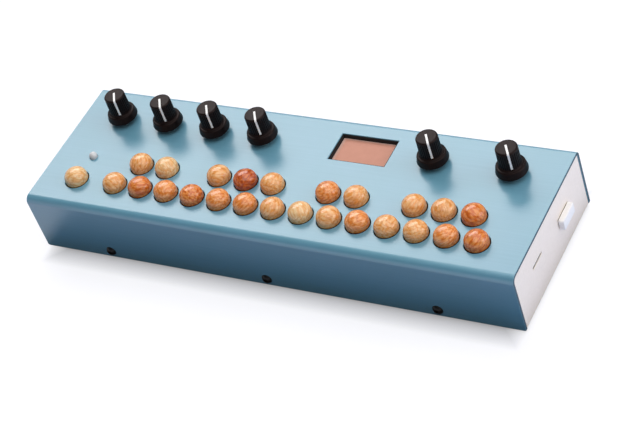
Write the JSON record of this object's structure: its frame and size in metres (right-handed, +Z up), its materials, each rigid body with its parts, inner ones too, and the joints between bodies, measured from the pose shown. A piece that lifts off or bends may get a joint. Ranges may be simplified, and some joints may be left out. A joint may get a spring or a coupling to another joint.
{
  "type": "compact synthesizer",
  "caption": "Desktop synthesizer with a folded metal cover, round wooden keys in two rows, flared control knobs, a small display and end slots for a drive and a card.",
  "frame": {"origin": "centre of the footprint on the surface that the feet stand on", "axes": "+X along the front to the player's right, +Y to the back, +Z up out of the panel"},
  "size_m": [0.3192, 0.1028, 0.0626],
  "materials": {
    "blue_anodised": "satin",
    "white_enamel": "satin",
    "lacquered_wood": "gloss",
    "black_rubber": "matt",
    "black_steel": "satin",
    "plain_steel": "satin",
    "nickel": "bright",
    "foot_rubber": "matt",
    "board_laminate": "satin",
    "nylon": "satin",
    "black_plastic": "satin",
    "display_film": "gloss",
    "black_foam": "matt",
    "light_lens": "gloss",
    "white_plastic": "gloss"
  },
  "bodies": {
    "chassis": {"top_cover": "blue_anodised", "base_tray": "white_enamel", "cover_screws": "black_steel", "rubber_feet": "foot_rubber", "switch_bodies": "black_plastic", "status_light": "light_lens", "control_board": "board_laminate", "compute_board": "board_laminate", "board_spacers": "nylon", "pot_bodies": "plain_steel", "encoder_body": "plain_steel", "shaft_nuts": "nickel", "display_gasket": "black_foam", "display_module": "display_film", "usb_ports": "nickel", "card_socket": "plain_steel", "rear_jacks": "black_plastic", "jack_nuts": "nickel", "power_inlet": "black_plastic"},
    "parameter_1_control": {"parameter_1_knob": "black_rubber", "parameter_1_shaft": "plain_steel"},
    "parameter_2_control": {"parameter_2_knob": "black_rubber", "parameter_2_shaft": "plain_steel"},
    "parameter_3_control": {"parameter_3_knob": "black_rubber", "parameter_3_shaft": "plain_steel"},
    "parameter_4_control": {"parameter_4_knob": "black_rubber", "parameter_4_shaft": "plain_steel"},
    "volume_control": {"volume_knob": "black_rubber", "volume_shaft": "plain_steel"},
    "select_rotor": {"encoder_rotor": "nylon"},
    "select_control": {"select_knob": "black_rubber", "select_shaft": "plain_steel"},
    "usb_drive": {"usb_drive": "white_plastic"},
    "memory_card": {"memory_card": "black_plastic"},
    "power_button": {"power_button": "black_plastic"},
    "aux_button": {"aux_button": "lacquered_wood"},
    "lower_key_01": {"lower_key_01": "lacquered_wood"},
    "lower_key_02": {"lower_key_02": "lacquered_wood"},
    "lower_key_03": {"lower_key_03": "lacquered_wood"},
    "lower_key_04": {"lower_key_04": "lacquered_wood"},
    "lower_key_05": {"lower_key_05": "lacquered_wood"},
    "lower_key_06": {"lower_key_06": "lacquered_wood"},
    "lower_key_07": {"lower_key_07": "lacquered_wood"},
    "lower_key_08": {"lower_key_08": "lacquered_wood"},
    "lower_key_09": {"lower_key_09": "lacquered_wood"},
    "lower_key_10": {"lower_key_10": "lacquered_wood"},
    "lower_key_11": {"lower_key_11": "lacquered_wood"},
    "lower_key_12": {"lower_key_12": "lacquered_wood"},
    "lower_key_13": {"lower_key_13": "lacquered_wood"},
    "lower_key_14": {"lower_key_14": "lacquered_wood"},
    "upper_key_01": {"upper_key_01": "lacquered_wood"},
    "upper_key_02": {"upper_key_02": "lacquered_wood"},
    "upper_key_03": {"upper_key_03": "lacquered_wood"},
    "upper_key_04": {"upper_key_04": "lacquered_wood"},
    "upper_key_05": {"upper_key_05": "lacquered_wood"},
    "upper_key_06": {"upper_key_06": "lacquered_wood"},
    "upper_key_07": {"upper_key_07": "lacquered_wood"},
    "upper_key_08": {"upper_key_08": "lacquered_wood"},
    "upper_key_09": {"upper_key_09": "lacquered_wood"},
    "upper_key_10": {"upper_key_10": "lacquered_wood"}
  },
  "joints": [
    {"name": "parameter_1_turn", "type": "hinge", "parent": "chassis", "child": "parameter_1_control", "pos_m": [-0.1284, 0.0249, 0.05], "axis": [0, 0, 1], "range_deg": [0, 300]},
    {"name": "parameter_2_turn", "type": "hinge", "parent": "chassis", "child": "parameter_2_control", "pos_m": [-0.0954, 0.0249, 0.05], "axis": [0, 0, 1], "range_deg": [0, 300]},
    {"name": "parameter_3_turn", "type": "hinge", "parent": "chassis", "child": "parameter_3_control", "pos_m": [-0.0624, 0.0249, 0.05], "axis": [0, 0, 1], "range_deg": [0, 300]},
    {"name": "parameter_4_turn", "type": "hinge", "parent": "chassis", "child": "parameter_4_control", "pos_m": [-0.0294, 0.0249, 0.05], "axis": [0, 0, 1], "range_deg": [0, 300]},
    {"name": "volume_turn", "type": "hinge", "parent": "chassis", "child": "volume_control", "pos_m": [0.1291, 0.0249, 0.05], "axis": [0, 0, 1], "range_deg": [0, 300]},
    {"name": "select_turn", "type": "hinge", "parent": "chassis", "child": "select_rotor", "pos_m": [0.0812, 0.0249, 0.05], "axis": [0, 0, 1], "continuous": true},
    {"name": "select_press", "type": "slide", "parent": "select_rotor", "child": "select_control", "axis": [0, 0, -1], "range_m": [0, 0.0005], "stiffness_N_per_m": 1500, "springref_m": -0.001},
    {"name": "usb_drive_pull", "type": "slide", "parent": "chassis", "child": "usb_drive", "axis": [1, 0, 0], "range_m": [0, 0.016]},
    {"name": "memory_card_pull", "type": "slide", "parent": "chassis", "child": "memory_card", "axis": [1, 0, 0], "range_m": [0, 0.016]},
    {"name": "power_press", "type": "slide", "parent": "chassis", "child": "power_button", "axis": [0, -1, 0], "range_m": [0, 0.0008], "stiffness_N_per_m": 1200, "springref_m": -0.001},
    {"name": "aux_button_press", "type": "slide", "parent": "chassis", "child": "aux_button", "axis": [0, 0, -1], "range_m": [0, 0.0015], "stiffness_N_per_m": 500, "springref_m": -0.0016},
    {"name": "lower_key_01_press", "type": "slide", "parent": "chassis", "child": "lower_key_01", "axis": [0, 0, -1], "range_m": [0, 0.0015], "stiffness_N_per_m": 500, "springref_m": -0.0016},
    {"name": "lower_key_02_press", "type": "slide", "parent": "chassis", "child": "lower_key_02", "axis": [0, 0, -1], "range_m": [0, 0.0015], "stiffness_N_per_m": 500, "springref_m": -0.0016},
    {"name": "lower_key_03_press", "type": "slide", "parent": "chassis", "child": "lower_key_03", "axis": [0, 0, -1], "range_m": [0, 0.0015], "stiffness_N_per_m": 500, "springref_m": -0.0016},
    {"name": "lower_key_04_press", "type": "slide", "parent": "chassis", "child": "lower_key_04", "axis": [0, 0, -1], "range_m": [0, 0.0015], "stiffness_N_per_m": 500, "springref_m": -0.0016},
    {"name": "lower_key_05_press", "type": "slide", "parent": "chassis", "child": "lower_key_05", "axis": [0, 0, -1], "range_m": [0, 0.0015], "stiffness_N_per_m": 500, "springref_m": -0.0016},
    {"name": "lower_key_06_press", "type": "slide", "parent": "chassis", "child": "lower_key_06", "axis": [0, 0, -1], "range_m": [0, 0.0015], "stiffness_N_per_m": 500, "springref_m": -0.0016},
    {"name": "lower_key_07_press", "type": "slide", "parent": "chassis", "child": "lower_key_07", "axis": [0, 0, -1], "range_m": [0, 0.0015], "stiffness_N_per_m": 500, "springref_m": -0.0016},
    {"name": "lower_key_08_press", "type": "slide", "parent": "chassis", "child": "lower_key_08", "axis": [0, 0, -1], "range_m": [0, 0.0015], "stiffness_N_per_m": 500, "springref_m": -0.0016},
    {"name": "lower_key_09_press", "type": "slide", "parent": "chassis", "child": "lower_key_09", "axis": [0, 0, -1], "range_m": [0, 0.0015], "stiffness_N_per_m": 500, "springref_m": -0.0016},
    {"name": "lower_key_10_press", "type": "slide", "parent": "chassis", "child": "lower_key_10", "axis": [0, 0, -1], "range_m": [0, 0.0015], "stiffness_N_per_m": 500, "springref_m": -0.0016},
    {"name": "lower_key_11_press", "type": "slide", "parent": "chassis", "child": "lower_key_11", "axis": [0, 0, -1], "range_m": [0, 0.0015], "stiffness_N_per_m": 500, "springref_m": -0.0016},
    {"name": "lower_key_12_press", "type": "slide", "parent": "chassis", "child": "lower_key_12", "axis": [0, 0, -1], "range_m": [0, 0.0015], "stiffness_N_per_m": 500, "springref_m": -0.0016},
    {"name": "lower_key_13_press", "type": "slide", "parent": "chassis", "child": "lower_key_13", "axis": [0, 0, -1], "range_m": [0, 0.0015], "stiffness_N_per_m": 500, "springref_m": -0.0016},
    {"name": "lower_key_14_press", "type": "slide", "parent": "chassis", "child": "lower_key_14", "axis": [0, 0, -1], "range_m": [0, 0.0015], "stiffness_N_per_m": 500, "springref_m": -0.0016},
    {"name": "upper_key_01_press", "type": "slide", "parent": "chassis", "child": "upper_key_01", "axis": [0, 0, -1], "range_m": [0, 0.0015], "stiffness_N_per_m": 500, "springref_m": -0.0016},
    {"name": "upper_key_02_press", "type": "slide", "parent": "chassis", "child": "upper_key_02", "axis": [0, 0, -1], "range_m": [0, 0.0015], "stiffness_N_per_m": 500, "springref_m": -0.0016},
    {"name": "upper_key_03_press", "type": "slide", "parent": "chassis", "child": "upper_key_03", "axis": [0, 0, -1], "range_m": [0, 0.0015], "stiffness_N_per_m": 500, "springref_m": -0.0016},
    {"name": "upper_key_04_press", "type": "slide", "parent": "chassis", "child": "upper_key_04", "axis": [0, 0, -1], "range_m": [0, 0.0015], "stiffness_N_per_m": 500, "springref_m": -0.0016},
    {"name": "upper_key_05_press", "type": "slide", "parent": "chassis", "child": "upper_key_05", "axis": [0, 0, -1], "range_m": [0, 0.0015], "stiffness_N_per_m": 500, "springref_m": -0.0016},
    {"name": "upper_key_06_press", "type": "slide", "parent": "chassis", "child": "upper_key_06", "axis": [0, 0, -1], "range_m": [0, 0.0015], "stiffness_N_per_m": 500, "springref_m": -0.0016},
    {"name": "upper_key_07_press", "type": "slide", "parent": "chassis", "child": "upper_key_07", "axis": [0, 0, -1], "range_m": [0, 0.0015], "stiffness_N_per_m": 500, "springref_m": -0.0016},
    {"name": "upper_key_08_press", "type": "slide", "parent": "chassis", "child": "upper_key_08", "axis": [0, 0, -1], "range_m": [0, 0.0015], "stiffness_N_per_m": 500, "springref_m": -0.0016},
    {"name": "upper_key_09_press", "type": "slide", "parent": "chassis", "child": "upper_key_09", "axis": [0, 0, -1], "range_m": [0, 0.0015], "stiffness_N_per_m": 500, "springref_m": -0.0016},
    {"name": "upper_key_10_press", "type": "slide", "parent": "chassis", "child": "upper_key_10", "axis": [0, 0, -1], "range_m": [0, 0.0015], "stiffness_N_per_m": 500, "springref_m": -0.0016}
  ]
}
